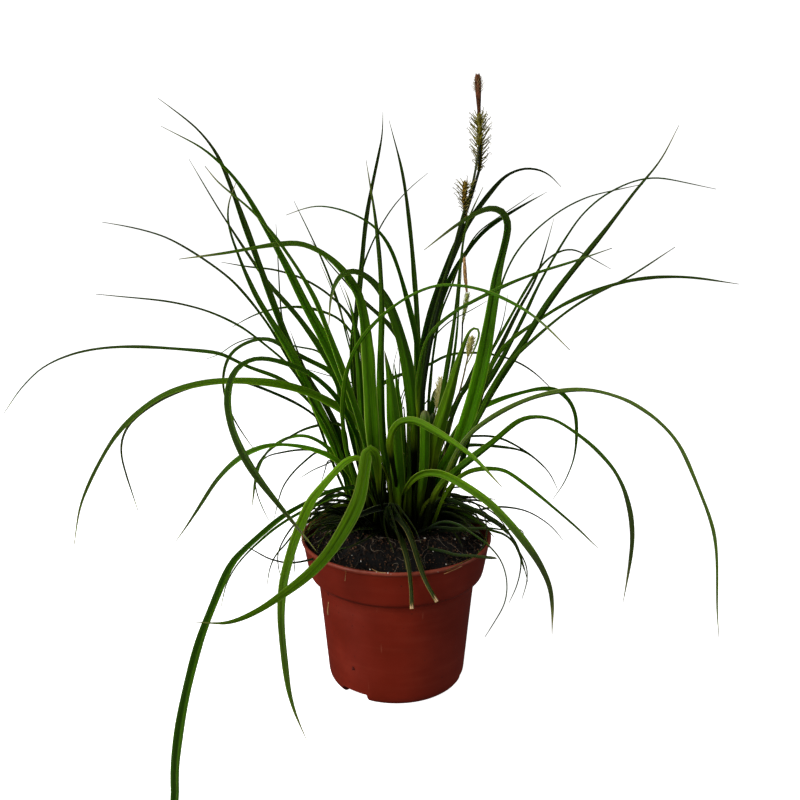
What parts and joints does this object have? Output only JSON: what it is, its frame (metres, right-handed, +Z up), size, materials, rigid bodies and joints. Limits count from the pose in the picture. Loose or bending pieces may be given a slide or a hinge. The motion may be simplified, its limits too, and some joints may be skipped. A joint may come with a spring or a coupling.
{
  "type": "potted ornamental grass",
  "caption": "Ornamental sedge clump with narrow arching leaves and brush-like flower spikes, growing in a round terracotta-coloured plastic nursery pot.",
  "frame": {"origin": "on the pot's axis, on the flat underside of its foot", "axes": "+Z up along the pot's axis; -Y towards the front of the plant, as pictured; +X to the right seen from the front"},
  "size_m": [0.4729, 0.415, 0.3762],
  "materials": {
    "pot_plastic": "satin moulded terracotta-coloured plastic, lightly scuffed",
    "soil": "dark moist peat potting soil with white perlite grains",
    "mid_leaf": "semi-gloss mid-green leaf with fine lengthwise ribs",
    "lime_leaf": "semi-gloss lime-green leaf with a paler midrib",
    "deep_leaf": "semi-gloss deep green leaf with a grey-green tip",
    "olive_leaf": "dull olive-green older leaf",
    "stalk": "smooth olive-green flowering stalk",
    "male_spike": "red-brown scaly flower spike",
    "female_spike": "yellow-olive bristly flower spike",
    "faded_spike": "straw-coloured faded flower spike"
  },
  "bodies": {
    "root": {"female_spike_1": "female_spike", "female_spike_2": "faded_spike", "flower_3": "faded_spike", "flower_4": "faded_spike", "flower_stalk_1": "stalk", "flower_stalk_2": "stalk", "leaf_centre_high_1": "deep_leaf", "leaf_centre_high_2": "mid_leaf", "leaf_centre_high_3": "deep_leaf", "leaf_centre_high_4": "mid_leaf", "leaf_centre_high_5": "mid_leaf", "leaf_centre_high_6": "deep_leaf", "leaf_centre_high_7": "deep_leaf", "leaf_front_1": "mid_leaf", "leaf_front_2": "lime_leaf", "leaf_front_3": "lime_leaf", "leaf_front_4": "olive_leaf", "leaf_front_5": "olive_leaf", "leaf_left_high_1": "deep_leaf", "leaf_left_high_10": "deep_leaf", "leaf_left_high_2": "mid_leaf", "leaf_left_high_3": "lime_leaf", "leaf_left_high_4": "deep_leaf", "leaf_left_high_5": "mid_leaf", "leaf_left_high_6": "deep_leaf", "leaf_left_high_7": "lime_leaf", "leaf_left_high_8": "deep_leaf", "leaf_left_high_9": "deep_leaf", "leaf_left_low_1": "deep_leaf", "leaf_left_low_2": "lime_leaf", "leaf_left_low_3": "deep_leaf", "leaf_left_low_4": "mid_leaf", "leaf_left_low_5": "mid_leaf", "leaf_left_low_6": "mid_leaf", "leaf_right_high_1": "deep_leaf", "leaf_right_high_2": "mid_leaf", "leaf_right_high_3": "deep_leaf", "leaf_right_high_4": "mid_leaf", "leaf_right_high_5": "lime_leaf", "leaf_right_high_6": "deep_leaf", "leaf_right_low_1": "mid_leaf", "leaf_right_low_2": "mid_leaf", "leaf_right_low_3": "mid_leaf", "leaf_right_low_4": "deep_leaf", "leaf_right_low_5": "mid_leaf", "leaf_right_low_6": "lime_leaf", "leaf_right_low_7": "lime_leaf", "leaf_right_wide_1": "deep_leaf", "leaf_right_wide_2": "deep_leaf", "leaf_right_wide_3": "mid_leaf", "leaf_right_wide_4": "deep_leaf", "leaf_right_wide_5": "olive_leaf", "leaf_right_wide_6": "deep_leaf", "leaf_right_wide_7": "deep_leaf", "leaf_right_wide_8": "olive_leaf", "male_spike_1": "male_spike", "male_spike_2": "faded_spike", "pot": "pot_plastic", "side_spike_1": "female_spike", "soil": "soil"}
  },
  "joints": []
}
